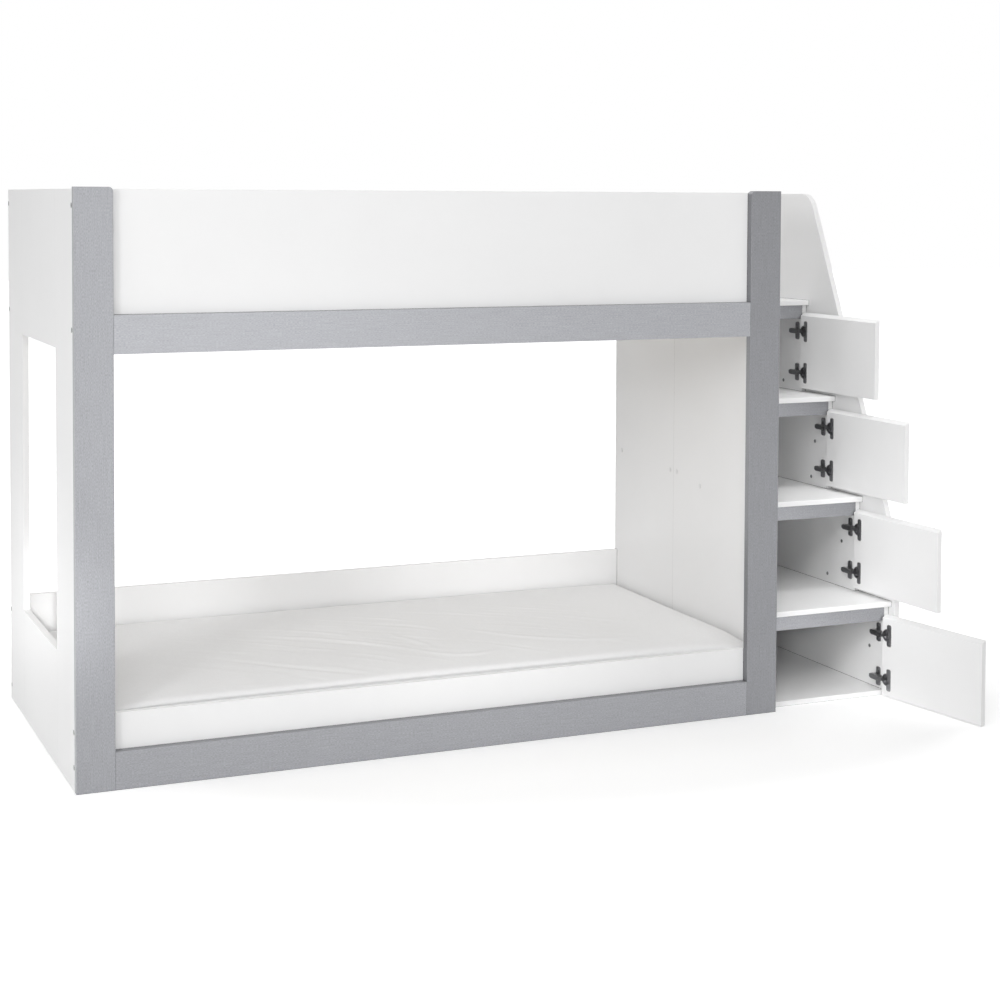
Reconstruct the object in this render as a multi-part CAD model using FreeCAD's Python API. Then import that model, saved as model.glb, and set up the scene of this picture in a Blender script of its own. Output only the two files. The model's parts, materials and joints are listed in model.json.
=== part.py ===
import FreeCAD, Part
import math
import os
from FreeCAD import Vector

# Bunk bed with a storage staircase, in millimetres, +Z up.
# While it is built, X = 0 is the outer face of the left end, Y = 0 the front face of the grey
# boards and Z = 0 the floor. At the end the whole bed is moved so that the origin lies at the
# bottom centre of its box.

# Front frame of grey boards
POST_HEIGHT = 1545.0
POST_WIDTH = 100.0
POST_CORNER_RADIUS = 12.0
GREY_BOARD = 22.0
BED_LENGTH = 2064.0
BED_DEPTH = 1028.0
UPPER_RAIL_BOTTOM = 1120.0
UPPER_RAIL_HEIGHT = 100.0
LOWER_RAIL_HEIGHT = 100.0

# White boards behind the front frame, at the ends and at the rear
WHITE_BOARD = 18.0
POST_PROUD = 5.0
GUARD_LIFT = 20.0
LOWER_BOARD_LIFT = 20.0
LOWER_BOARD_SHOW = 95.0
LOWER_PANEL_HEIGHT = 315.0
END_POST_WIDTH = 240.0
BOARD_EDGE_RADIUS = 0.8

# Slatted bases
CLEAT_WIDTH = 25.0
CLEAT_HEIGHT = 40.0
CLEAT_LIFT = 5.0
SLAT_COUNT = 12
SLAT_WIDTH = 80.0
SLAT_THICKNESS = 18.0
SLAT_END_GAP = 2.0

# Mattress of the lower bunk
MATTRESS_GAP = 14.0
MATTRESS_EDGE_HEIGHT = 116.0
MATTRESS_CROWN = 30.0
MATTRESS_EDGE_ROLL = 26.0
MATTRESS_DRAW_IN = 5.0
MATTRESS_CORNER = 70.0

# Staircase: treads, cabinet walls and the panel on its outer side
STAIR_WIDTH = 426.0
STAIR_BOARD = 16.0
STEP_COUNT = 4
LOWEST_TREAD_TOP = 291.0
TOP_TREAD_LIFT = 71.0
STEP_GOING = 161.0
LOWEST_NOSING_Y = 28.0
NOSING_OVERHANG = 15.0
NOSING_RADIUS = 2.0
ENTRY_SETBACK = 100.0
FASCIA_HEIGHT = 44.0
SIDE_FRONT_Y = 12.0
SIDE_KNEE_HEIGHT = 445.0
SIDE_TOP_LENGTH = 513.0
SIDE_TOP_RADIUS = 75.0
SIDE_KNEE_RADIUS = 650.0

# Cabinet doors; the top edge slants up towards the outer face as a finger grip
DOOR_OVERLAP = 10.0
DOOR_THICKNESS = 16.0
DOOR_GRIP_RISE = 11.0
DOOR_REVEAL = 8.0
DOOR_BACK_GAP = 3.0
DOOR_LIFT = 12.0
LOWEST_DOOR_LIFT = 2.0
DOOR_STOP_GAP = 1.0
WIDEST_DOOR_ANGLE = 98.7

# Concealed cup hinges; the pin is placed from the hinge edge and the back of the closed door
HINGE_INSET = 51.0
PIN_FROM_EDGE = 7.5
PIN_DEPTH = 9.0
PIN_RADIUS = 1.5
PIN_HALF_LENGTH = 9.0
PIN_RUNNING_GAP = 0.05
PIN_SEAT_GAP = 0.02
CUP_RADIUS = 17.5
CUP_DEPTH = 13.0
CUP_WALL = 1.2
CUP_FLOOR = 0.8
CUP_FROM_EDGE = 20.0
CUP_BORE_GAP = 0.1
FLANGE_THICKNESS = 1.2
FLANGE_RIM = 0.8
WING_OFFSET = 9.5
WING_WIDTH = 17.0
WING_LENGTH = 66.0
WING_RADIUS = 5.0
WING_SCREW_SPREAD = 52.0
LUG_GAP = 0.3
ARM_HALF_WIDTH = 4.5
ARM_THICKNESS = 7.8
ARM_STANDOFF = 12.2
ARM_LENGTH = 48.0
ARM_TAIL_HALF_WIDTH = 8.0
ARM_NECK = 4.0
EYE_RADIUS = 2.5
HOOK_UPPER = 1.0
PLATE_FROM_FRONT = 25.0
PLATE_WIDTH = 20.0
PLATE_HALF_HEIGHT = 28.0
PLATE_THICKNESS = 3.0
RIDGE_HALF_HEIGHT = 6.0
RIDGE_LENGTH = 40.0
PLATE_SCREW_SPREAD = 40.0
HINGE_SCREW_RADIUS = 1.75
HINGE_SCREW_HEAD_RADIUS = 3.6
HINGE_SCREW_HEAD = 1.4
HINGE_SCREW_LENGTH = 11.0

# Fasteners
BOLT_RADIUS = 3.0
BOLT_HEAD_RADIUS = 7.0
BOLT_HEAD = 3.0
BOLT_LENGTH = 52.0
BOLT_INSET = 42.0
BOLT_HOLE_GAP = 0.3
BARREL_RADIUS = 5.0
BARREL_FROM_END = 30.0
BARREL_COVER = 3.0
DOWEL_RADIUS = 4.0
DOWEL_LENGTH = 30.0
DOWEL_END_GAP = 0.5
DOWEL_GAP = 0.1
DOWEL_IN_GREY = 12.0
DOWEL_INSET = 50.0
SCREW_RADIUS = 2.0
SCREW_HEAD_RADIUS = 4.0
SCREW_HEAD = 2.5
SCREW_GAP = 0.1
SCREW_BITE = 14.0
FRAME_SCREWS_PER_RAIL = 7
FRAME_SCREW_DROP = 15.0
FRAME_SCREW_FROM_JOINT = 22.0
CLEAT_SCREWS = 8
STAIR_BOLT_HEAD_RADIUS = 6.0
STAIR_BOLT_HEAD = 1.5
STAIR_BOLT_BITE = 11.0
STAIR_BOLT_ROW = 49.0
STAIR_BOLT_SPREAD = 22.0
STAIR_BOLT_FRONT = 72.0
STAIR_BOLT_FRONT_ROW = 23.0
STAIR_BOLT_REAR = 30.0
STAIR_BOLT_REAR_ROW = 70.0
WALL_BOLT_HEAD_RADIUS = 5.0
WALL_BOLT_FROM_FRONT = 75.0
WALL_BOLT_DROP = 154.0
WALL_BOLT_LOW_FROM_FRONT = (110.0, 95.0, 154.0)
WALL_BOLT_LOW = 28.0

# Places that follow from the driving dimensions
panel_height = POST_HEIGHT - POST_PROUD
inner_left = WHITE_BOARD
inner_right = BED_LENGTH - WHITE_BOARD
board_back = GREY_BOARD + WHITE_BOARD
rear_inner = BED_DEPTH - WHITE_BOARD
guard_bottom = UPPER_RAIL_BOTTOM + GUARD_LIFT
lower_board_top = LOWER_RAIL_HEIGHT + LOWER_BOARD_SHOW
upper_rail_top = UPPER_RAIL_BOTTOM + UPPER_RAIL_HEIGHT
side_inner = BED_LENGTH + STAIR_WIDTH
side_outer = side_inner + WHITE_BOARD
wall_inner = side_inner - STAIR_BOARD
left_wall_inner = BED_LENGTH + STAIR_BOARD
stair_rear = rear_inner
hinge_edge = side_inner - DOOR_REVEAL
pin_x = hinge_edge - PIN_FROM_EDGE
steps = range(1, STEP_COUNT + 1)
step_rise = (UPPER_RAIL_BOTTOM + TOP_TREAD_LIFT - LOWEST_TREAD_TOP) / (STEP_COUNT - 1)
entry_front = LOWEST_NOSING_Y + (STEP_COUNT - 1) * STEP_GOING + ENTRY_SETBACK

solids = {}
cutters = {}
X = Vector(1, 0, 0)
Y = Vector(0, 1, 0)
Z = Vector(0, 0, 1)


def block(x0, x1, y0, y1, z0, z1):
    """Box between two opposite corners."""
    return Part.makeBox(x1 - x0, y1 - y0, z1 - z0, Vector(x0, y0, z0))


def rod(start, axis, radius, length):
    return Part.makeCylinder(radius, length, start, axis)


def board(name, x0, x1, y0, y1, z0, z1):
    """Flat board with its edges eased."""
    shape = block(x0, x1, y0, y1, z0, z1)
    solids[name] = shape.makeFillet(BOARD_EDGE_RADIUS, shape.Edges)


def drill(name, tool):
    cutters.setdefault(name, []).append(tool)


def add(name, shape):
    """One more piece in a node that holds a group of like pieces."""
    solids.setdefault(name, []).append(shape)


def spread(low, high, count):
    """Evenly spaced places from low to high, both included."""
    return [low + (high - low) * i / (count - 1) for i in range(count)]


def tread_top(step):
    """Height of a tread; step 1 is the highest."""
    return LOWEST_TREAD_TOP + (STEP_COUNT - step) * step_rise


def nosing_y(step):
    return LOWEST_NOSING_Y + (STEP_COUNT - step) * STEP_GOING


def cabinet_front(step):
    return nosing_y(step) + NOSING_OVERHANG


def cabinet_floor(step):
    """Top of the board that a cabinet stands on."""
    return STAIR_BOARD if step == STEP_COUNT else tread_top(step + 1)


def door_bottom(step):
    return LOWEST_DOOR_LIFT if step == STEP_COUNT else cabinet_floor(step) + DOOR_LIFT


def door_height(step):
    """Height of a door's inner face, from its lower edge up to where it overlaps the fascia."""
    fascia_bottom = tread_top(step) - STAIR_BOARD - FASCIA_HEIGHT
    return fascia_bottom + DOOR_OVERLAP - door_bottom(step)


def pin_y(step):
    return cabinet_front(step) - DOOR_BACK_GAP - PIN_DEPTH


def hinge_heights(step):
    low = door_bottom(step)
    return (low + HINGE_INSET, low + door_height(step) - HINGE_INSET)


def side_front(height):
    """Front edge of the side panel's outline, without its roundings, at a height."""
    top_front = BED_DEPTH - SIDE_TOP_LENGTH
    rise = (height - SIDE_KNEE_HEIGHT) / (panel_height - SIDE_KNEE_HEIGHT)
    return SIDE_FRONT_Y + max(rise, 0.0) * (top_front - SIDE_FRONT_Y)


def widest_opening(step, gap):
    """Angle at which a door's outer face stands this far from the side panel, in degrees."""
    room = side_inner - pin_x - (DOOR_THICKNESS - PIN_DEPTH) - gap
    reach = pin_y(step) - side_front(door_bottom(step))
    return 90.0 + math.degrees(math.asin(min(room / reach, 1.0)))


def open_angle(step):
    """How far a door stands open at rest."""
    return min(widest_opening(step, DOOR_STOP_GAP), WIDEST_DOOR_ANGLE)


def post(name, x0, inner_side):
    """Grey upright whose top corner towards the bed's middle is rounded."""
    shape = block(x0, x0 + POST_WIDTH, 0, GREY_BOARD, 0, POST_HEIGHT)
    corner_x = x0 + POST_WIDTH if inner_side > 0 else x0
    corner = [e for e in shape.Edges if abs(e.CenterOfMass.x - corner_x) < 0.01
              and abs(e.CenterOfMass.z - POST_HEIGHT) < 0.01]
    shape = shape.makeFillet(POST_CORNER_RADIUS, corner)
    rim = [e for e in shape.Edges if abs(e.CenterOfMass.y) < 0.01]
    solids[name] = shape.makeFillet(BOARD_EDGE_RADIUS, rim)


def front_frame():
    post("left_front_post", 0, 1)
    post("right_front_post", BED_LENGTH - POST_WIDTH, -1)
    rail_ends = (POST_WIDTH, BED_LENGTH - POST_WIDTH)
    board("upper_front_rail", *rail_ends, 0, GREY_BOARD, UPPER_RAIL_BOTTOM, upper_rail_top)
    board("lower_front_rail", *rail_ends, 0, GREY_BOARD, 0, LOWER_RAIL_HEIGHT)


def long_boards():
    span = (inner_left, inner_right)
    board("front_guard_panel", *span, GREY_BOARD, board_back, guard_bottom, panel_height)
    board("rear_guard_panel", inner_left, side_inner, rear_inner, BED_DEPTH, guard_bottom, panel_height)
    board("lower_front_board", *span, GREY_BOARD, board_back, LOWER_BOARD_LIFT, lower_board_top)
    board("rear_lower_panel", *span, rear_inner, BED_DEPTH, 0, LOWER_PANEL_HEIGHT)


def left_end():
    """Two uprights with a panel above and below a window."""
    across = (0, WHITE_BOARD)
    window = (GREY_BOARD + END_POST_WIDTH, BED_DEPTH - END_POST_WIDTH)
    board("left_end_front_post", *across, GREY_BOARD, window[0], 0, panel_height)
    board("left_end_rear_post", *across, window[1], BED_DEPTH, 0, panel_height)
    board("left_end_upper_panel", *across, *window, UPPER_RAIL_BOTTOM, panel_height)
    board("left_end_lower_panel", *across, *window, 0, LOWER_PANEL_HEIGHT)


def right_end():
    """A full-height panel in front, and one behind that stops level with the top tread."""
    across = (inner_right, BED_LENGTH)
    board("right_end_front_panel", *across, GREY_BOARD, entry_front, 0, panel_height)
    board("right_end_rear_panel", *across, entry_front, BED_DEPTH, 0, tread_top(1))
    notch = block(inner_right, BED_LENGTH, rear_inner, BED_DEPTH, guard_bottom, tread_top(1))
    drill("right_end_rear_panel", notch)


def slatted_base(name, cleat_bottom, carriers):
    """Two cleats screwed to the long boards, with slats screwed across them."""
    cleat_top = cleat_bottom + CLEAT_HEIGHT
    rows = ((board_back, board_back + CLEAT_WIDTH, carriers[0]),
            (rear_inner - CLEAT_WIDTH, rear_inner, carriers[1]))
    half_slat = SLAT_WIDTH / 2
    middles = spread(inner_left + SLAT_WIDTH, inner_right - SLAT_WIDTH, SLAT_COUNT)
    slats = [block(x - half_slat, x + half_slat, board_back + SLAT_END_GAP, rear_inner - SLAT_END_GAP,
                   cleat_top, cleat_top + SLAT_THICKNESS) for x in middles]
    for y0, y1, carrier in rows:
        cleat = block(inner_left, inner_right, y0, y1, cleat_bottom, cleat_top)
        holes = []
        front = carrier == carriers[0]
        aim = -Y if front else Y
        length = CLEAT_WIDTH + WHITE_BOARD - BARREL_COVER
        for x in spread(inner_left + 1.5 * SLAT_WIDTH, inner_right - 1.5 * SLAT_WIDTH, CLEAT_SCREWS):
            start = Vector(x, y1 if front else y0, cleat_bottom + CLEAT_HEIGHT / 2)
            holes.append(screw("cleat_screws", start, aim, length, [carrier]))
        for i, x in enumerate(middles):
            start = Vector(x, (y0 + y1) / 2, cleat_top + SLAT_THICKNESS)
            hole = screw("slat_screws", start, -Z, SLAT_THICKNESS + SCREW_BITE, [])
            holes.append(hole)
            slats[i] = slats[i].cut(hole)
        add("slat_cleats", cleat.cut(Part.makeCompound(holes)))
    solids[name] = slats


def screw(node, start, aim, length, boards):
    """Flush screw whose head's top is at start; drills the boards and returns its hole."""
    head = Part.makeCone(SCREW_HEAD_RADIUS, SCREW_RADIUS, SCREW_HEAD, start, aim)
    add(node, head.fuse(rod(start, aim, SCREW_RADIUS, length)).removeSplitter())
    wide = SCREW_HEAD_RADIUS + SCREW_GAP
    narrow = SCREW_RADIUS + SCREW_GAP
    sink = Part.makeCone(wide, narrow, SCREW_HEAD, start, aim)
    hole = sink.fuse(rod(start, aim, narrow, length + SCREW_GAP))
    for name in boards:
        drill(name, hole)
    return hole


def dowel(start, aim, boards):
    """Wooden dowel from start along aim, in a hole through the joint of two boards."""
    add("joint_dowels", rod(start, aim, DOWEL_RADIUS, DOWEL_LENGTH))
    dowel_hole(start, aim, boards)


def dowel_hole(start, aim, boards):
    length = DOWEL_LENGTH + 2 * DOWEL_END_GAP
    hole = rod(start - aim * DOWEL_END_GAP, aim, DOWEL_RADIUS + DOWEL_GAP, length)
    for name in boards:
        drill(name, hole)


def end_bolt(start, aim, panel, long_board, barrel_aim):
    """Connecting bolt with a flush head, through an end panel into a barrel nut in a long board."""
    shank = rod(start, aim, BOLT_RADIUS, BOLT_LENGTH)
    head = rod(start, aim, BOLT_HEAD_RADIUS, BOLT_HEAD)
    add("end_bolts", head.fuse(shank).removeSplitter())
    hole = rod(start, aim, BOLT_RADIUS + BOLT_HOLE_GAP, BOLT_LENGTH + DOWEL_END_GAP)
    sink = rod(start, aim, BOLT_HEAD_RADIUS + BOLT_HOLE_GAP, BOLT_HEAD)
    drill(panel, hole.fuse(sink))
    centre = start + aim * (WHITE_BOARD + BARREL_FROM_END)
    face = centre + barrel_aim * (WHITE_BOARD / 2)
    length = WHITE_BOARD - BARREL_COVER
    add("barrel_nuts", rod(face, -barrel_aim, BARREL_RADIUS, length).cut(hole))
    drill(long_board, hole)
    drill(long_board, rod(face, -barrel_aim, BARREL_RADIUS + DOWEL_GAP, length))


def bolt_ends():
    """Bolts that hold the long boards between the ends."""
    front_y = GREY_BOARD + WHITE_BOARD / 2
    rear_y = BED_DEPTH - WHITE_BOARD / 2
    guard_z = (guard_bottom + BOLT_INSET, panel_height - BOLT_INSET)
    low_z = (LOWER_BOARD_LIFT + BOLT_INSET, lower_board_top - BOLT_INSET)
    rear_z = (BOLT_INSET, LOWER_PANEL_HEIGHT - BOLT_INSET)
    front_ends = ("left_end_front_post", "right_end_front_panel", BED_LENGTH)
    guard_ends = ("left_end_rear_post", "stair_side_panel", side_outer)
    low_ends = ("left_end_rear_post", "right_end_rear_panel", BED_LENGTH)
    rows = (("front_guard_panel", front_y, guard_z, -Y, front_ends),
            ("lower_front_board", front_y, low_z, -Y, front_ends),
            ("rear_guard_panel", rear_y, guard_z, Y, guard_ends),
            ("rear_lower_panel", rear_y, rear_z, Y, low_ends))
    for long_board, y, heights, barrel_aim, (left, right, right_face) in rows:
        for z in heights:
            end_bolt(Vector(0, y, z), X, left, long_board, barrel_aim)
            end_bolt(Vector(right_face, y, z), -X, right, long_board, barrel_aim)


def dowel_joints():
    """Dowels across the butt joints of the ends and of the front frame."""
    half = DOWEL_LENGTH / 2
    end_x = WHITE_BOARD / 2
    window = (GREY_BOARD + END_POST_WIDTH, BED_DEPTH - END_POST_WIDTH)
    upper = spread(UPPER_RAIL_BOTTOM + DOWEL_INSET, panel_height - DOWEL_INSET, 3)
    lower = spread(DOWEL_INSET, LOWER_PANEL_HEIGHT - DOWEL_INSET, 3)
    for y, upright in zip(window, ("left_end_front_post", "left_end_rear_post")):
        for panel, heights in (("left_end_upper_panel", upper), ("left_end_lower_panel", lower)):
            for z in heights:
                dowel(Vector(end_x, y - half, z), Y, [upright, panel])
    right_panels = ["right_end_front_panel", "right_end_rear_panel"]
    for z in spread(DOWEL_INSET, tread_top(1) - DOWEL_INSET, 5):
        dowel(Vector(BED_LENGTH - end_x, entry_front - half, z), Y, right_panels)
    quarter = UPPER_RAIL_HEIGHT / 4
    for rail, low, high in (("upper_front_rail", UPPER_RAIL_BOTTOM, upper_rail_top),
                            ("lower_front_rail", 0, LOWER_RAIL_HEIGHT)):
        for z in (low + quarter, high - quarter):
            dowel(Vector(POST_WIDTH - half, GREY_BOARD / 2, z), X, ["left_front_post", rail])
            dowel(Vector(BED_LENGTH - POST_WIDTH - half, GREY_BOARD / 2, z), X, ["right_front_post", rail])
    between = spread(lower_board_top + DOWEL_INSET, UPPER_RAIL_BOTTOM - DOWEL_INSET, 4)
    for z in between:
        start_y = GREY_BOARD - DOWEL_IN_GREY
        dowel(Vector(end_x, start_y, z), Y, ["left_front_post", "left_end_front_post"])
        dowel(Vector(BED_LENGTH - end_x, start_y, z), Y, ["right_front_post", "right_end_front_panel"])


def frame_screws():
    """Screws from the backs of the white boards into the grey frame."""
    length = WHITE_BOARD + SCREW_BITE
    rail_x = spread(2 * POST_WIDTH, BED_LENGTH - 2 * POST_WIDTH, FRAME_SCREWS_PER_RAIL)
    post_x = (("left_front_post", POST_WIDTH - FRAME_SCREW_FROM_JOINT),
              ("right_front_post", BED_LENGTH - POST_WIDTH + FRAME_SCREW_FROM_JOINT))
    rows = (("front_guard_panel", "upper_front_rail", upper_rail_top - FRAME_SCREW_DROP,
             (upper_rail_top + DOWEL_INSET, panel_height - 2 * DOWEL_INSET)),
            ("lower_front_board", "lower_front_rail", LOWER_RAIL_HEIGHT - FRAME_SCREW_DROP,
             ((LOWER_RAIL_HEIGHT + lower_board_top) / 2,)))
    for panel, rail, rail_z, post_heights in rows:
        for x in rail_x:
            screw("frame_screws", Vector(x, board_back, rail_z), -Y, length, [panel, rail])
        for upright, x in post_x:
            for z in post_heights:
                screw("frame_screws", Vector(x, board_back, z), -Y, length, [panel, upright])


def mattress():
    """Crowned mattress whose sides are drawn in between its corners, lofted along its length."""
    x0 = inner_left + MATTRESS_GAP
    x1 = inner_right - MATTRESS_GAP
    y0 = board_back + MATTRESS_GAP
    y1 = rear_inner - MATTRESS_GAP
    bottom = LOWER_BOARD_LIFT + CLEAT_LIFT + CLEAT_HEIGHT + SLAT_THICKNESS
    middle_y = (y0 + y1) / 2
    half_width = (y1 - y0) / 2
    roll = MATTRESS_EDGE_ROLL
    edge_top = bottom + MATTRESS_EDGE_HEIGHT

    def section(x, inset, crown, drop):
        """Closed profile at x: flat base, upright sides, rolled top edges and an arched top."""
        left = middle_y - half_width + inset
        right = middle_y + half_width - inset
        top = edge_top - drop
        shoulder = roll * math.sin(math.pi / 4)
        rest = roll - shoulder
        points = [Vector(x, left, bottom), Vector(x, left, top - roll), Vector(x, left + roll, top),
                  Vector(x, right - roll, top), Vector(x, right, top - roll),
                  Vector(x, right, bottom)]
        edges = [Part.makeLine(points[0], points[1]),
                 Part.Arc(points[1], Vector(x, left + rest, top - rest), points[2]).toShape(),
                 Part.Arc(points[2], Vector(x, middle_y, top + crown), points[3]).toShape(),
                 Part.Arc(points[3], Vector(x, right - rest, top - rest), points[4]).toShape(),
                 Part.makeLine(points[4], points[5]),
                 Part.makeLine(points[5], points[0])]
        return Part.Wire(edges)

    corner = MATTRESS_CORNER
    diagonal = corner * (1 - math.sin(math.pi / 4))
    half = [(0.0, corner, 0.25, roll), (diagonal, diagonal, 0.4, roll * 0.45),
            (corner, 0.0, 0.55, 0.0), (4 * corner, MATTRESS_DRAW_IN * 0.6, 0.9, 0.0)]
    places = [(x0 + along, inset, crown, drop) for along, inset, crown, drop in half]
    places.append(((x0 + x1) / 2, MATTRESS_DRAW_IN, 1.0, 0.0))
    places += [(x1 - along, inset, crown, drop) for along, inset, crown, drop in reversed(half)]
    wires = [section(x, inset, crown * MATTRESS_CROWN, drop) for x, inset, crown, drop in places]
    solids["mattress"] = Part.makeLoft(wires, True, True)


def side_panel():
    """Outer panel of the staircase: level top, slanted front edge and upright lower front."""
    corners = [Vector(side_inner, BED_DEPTH, 0), Vector(side_inner, SIDE_FRONT_Y, 0),
               Vector(side_inner, SIDE_FRONT_Y, SIDE_KNEE_HEIGHT),
               Vector(side_inner, BED_DEPTH - SIDE_TOP_LENGTH, panel_height),
               Vector(side_inner, BED_DEPTH, panel_height)]
    shape = Part.Face(Part.makePolygon(corners + corners[:1])).extrude(X * WHITE_BOARD)
    for corner, radius in ((corners[2], SIDE_KNEE_RADIUS), (corners[3], SIDE_TOP_RADIUS)):
        middle = corner + X * (WHITE_BOARD / 2)
        edge = [e for e in shape.Edges if (e.CenterOfMass - middle).Length < 0.01]
        shape = shape.makeFillet(radius, edge)
    rims = [e for e in shape.Edges
            if min(abs(e.CenterOfMass.x - side_inner), abs(e.CenterOfMass.x - side_outer)) < 0.01]
    solids["stair_side_panel"] = shape.makeFillet(BOARD_EDGE_RADIUS, rims)


def staircase():
    """Treads on cabinet walls, with a grey fascia under each nosing."""
    across = (BED_LENGTH, side_inner)
    board("stair_base_board", *across, cabinet_front(STEP_COUNT), stair_rear, 0, STAIR_BOARD)
    board("stair_back_panel", *across, stair_rear, BED_DEPTH, 0, guard_bottom)
    for step in steps:
        top = tread_top(step)
        under = top - STAIR_BOARD
        front = cabinet_front(step)
        floor = cabinet_floor(step)
        tread = block(*across, nosing_y(step), stair_rear, under, top)
        nose = [e for e in tread.Edges
                if abs(e.CenterOfMass.y - nosing_y(step)) < 0.01 and e.Length > STAIR_BOARD]
        solids[f"tread_{step}"] = tread.makeFillet(NOSING_RADIUS, nose)
        board(f"left_wall_{step}", BED_LENGTH, left_wall_inner, front, stair_rear, floor, under)
        board(f"right_wall_{step}", wall_inner, side_inner, front, stair_rear, floor, under)
        board(f"fascia_{step}", left_wall_inner, wall_inner, front, front + STAIR_BOARD,
              under - FASCIA_HEIGHT, under)


def stair_dowels():
    """Dowels that stand between the cabinet walls and the boards above and below them."""
    for step in steps:
        front = cabinet_front(step)
        below = "stair_base_board" if step == STEP_COUNT else f"tread_{step + 1}"
        under = tread_top(step) - STAIR_BOARD
        floor = cabinet_floor(step)
        sunk = STAIR_BOARD / 2
        lower_shift = 2 * DOWEL_RADIUS + DOWEL_LENGTH / 2
        for side, x in (("left", BED_LENGTH + sunk), ("right", side_inner - sunk)):
            wall = f"{side}_wall_{step}"
            for y in (front + 2 * DOWEL_INSET, stair_rear - DOWEL_INSET):
                stair_dowel(Vector(x, y, under + sunk), -Z, [wall, f"tread_{step}"])
                stair_dowel(Vector(x, y + lower_shift, floor - sunk), Z, [wall, below])


def stair_dowel(start, aim, boards):
    add("stair_dowels", rod(start, aim, DOWEL_RADIUS, DOWEL_LENGTH))
    dowel_hole(start, aim, boards)


def capped_bolt(node, start, aim, head_radius, through, bite, boards):
    """Bolt with a thin round head that stands on a board's face."""
    head = rod(start - aim * STAIR_BOLT_HEAD, aim, head_radius, STAIR_BOLT_HEAD)
    rim = [e for e in head.Edges if (e.CenterOfMass - start).Length > STAIR_BOLT_HEAD / 2]
    head = head.makeFillet(STAIR_BOLT_HEAD / 2, [e for e in rim if e.Length > 4 * head_radius])
    shank = rod(start, aim, BOLT_RADIUS, through + bite)
    add(node, head.fuse(shank))
    hole = rod(start, aim, BOLT_RADIUS + SCREW_GAP, through + bite + SCREW_GAP)
    for name in boards:
        drill(name, hole)


def stair_bolts():
    """Bolts that hold the staircase to the bed's right end, and its walls to the side panel."""
    end_places = ((cabinet_front(2) + STAIR_BOLT_FRONT, STAIR_BOLT_FRONT_ROW),
                  (entry_front - STAIR_BOLT_SPREAD, STAIR_BOLT_ROW),
                  (entry_front + STAIR_BOLT_SPREAD, STAIR_BOLT_ROW),
                  (stair_rear - STAIR_BOLT_REAR, STAIR_BOLT_REAR_ROW))
    drilled = ["right_end_front_panel", "right_end_rear_panel", "left_wall_2"]
    for y, row in end_places:
        capped_bolt("stair_bolts", Vector(inner_right, y, cabinet_floor(2) + row), X,
                    STAIR_BOLT_HEAD_RADIUS, WHITE_BOARD, STAIR_BOLT_BITE, drilled)
    wall_places = [(step, WALL_BOLT_FROM_FRONT, tread_top(step) - WALL_BOLT_DROP) for step in steps[1:]]
    wall_places += [(step, back, cabinet_floor(step) + WALL_BOLT_LOW)
                    for step, back in zip(steps, WALL_BOLT_LOW_FROM_FRONT)]
    for step, back, z in wall_places:
        capped_bolt("side_panel_bolts", Vector(wall_inner, cabinet_front(step) + back, z), X,
                    WALL_BOLT_HEAD_RADIUS, STAIR_BOARD, STAIR_BOLT_BITE,
                    [f"right_wall_{step}", "stair_side_panel"])


def hinge_screw(start, aim):
    head = rod(start - aim * HINGE_SCREW_HEAD, aim, HINGE_SCREW_HEAD_RADIUS, HINGE_SCREW_HEAD)
    return head.fuse(rod(start, aim, HINGE_SCREW_RADIUS, HINGE_SCREW_LENGTH)).removeSplitter()


def hinge_screw_hole(start, aim):
    return rod(start, aim, HINGE_SCREW_RADIUS + SCREW_GAP, HINGE_SCREW_LENGTH + SCREW_GAP)


def hinge_cup(pin):
    """Cup with its screw wings and the two lugs that hold the pin, on a closed door."""
    centre = Vector(pin.x + PIN_FROM_EDGE - CUP_FROM_EDGE, pin.y + PIN_DEPTH, pin.z)
    inner_radius = CUP_RADIUS - CUP_WALL
    face = centre.y
    outer = rod(centre - Y * CUP_DEPTH, Y, CUP_RADIUS, CUP_DEPTH)
    rim = rod(centre, Y, CUP_RADIUS + FLANGE_RIM, FLANGE_THICKNESS)
    wing_x = centre.x - WING_OFFSET
    wing = block(wing_x - WING_WIDTH / 2, wing_x + WING_WIDTH / 2, face, face + FLANGE_THICKNESS,
                 pin.z - WING_LENGTH / 2, pin.z + WING_LENGTH / 2)
    upright = [e for e in wing.Edges if abs(e.Length - FLANGE_THICKNESS) < 0.01]
    wing = wing.makeFillet(WING_RADIUS, upright)
    hollow = rod(centre - Y * (CUP_DEPTH - CUP_FLOOR), Y, inner_radius, CUP_DEPTH + 2 * FLANGE_THICKNESS)
    shell = outer.fuse(rim).fuse(wing).cut(hollow)
    lug_low = ARM_HALF_WIDTH + LUG_GAP
    lugs = []
    for side in (-1, 1):
        z_range = sorted((pin.z + side * lug_low, pin.z + side * CUP_RADIUS))
        lug = block(pin.x - EYE_RADIUS, pin.x + CUP_RADIUS, face - CUP_DEPTH,
                    pin.y + 2 * PIN_RADIUS, *z_range)
        lugs.append(lug.common(outer))
    shell = shell.fuse(lugs)
    running = PIN_RADIUS + PIN_RUNNING_GAP
    half = PIN_HALF_LENGTH + PIN_RUNNING_GAP
    shell = shell.cut(rod(pin - Z * half, Z, running, 2 * half)).removeSplitter()
    screws = []
    holes = [rod(centre + Y * FLANGE_THICKNESS, -Y, CUP_RADIUS + CUP_BORE_GAP,
                 CUP_DEPTH + FLANGE_THICKNESS + CUP_BORE_GAP)]
    for side in (-1, 1):
        start = Vector(wing_x, face + FLANGE_THICKNESS, pin.z + side * WING_SCREW_SPREAD / 2)
        screws.append(hinge_screw(start, -Y))
        hole = hinge_screw_hole(start, -Y)
        shell = shell.cut(hole)
        holes.append(hole)
    return shell, screws, holes


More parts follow.
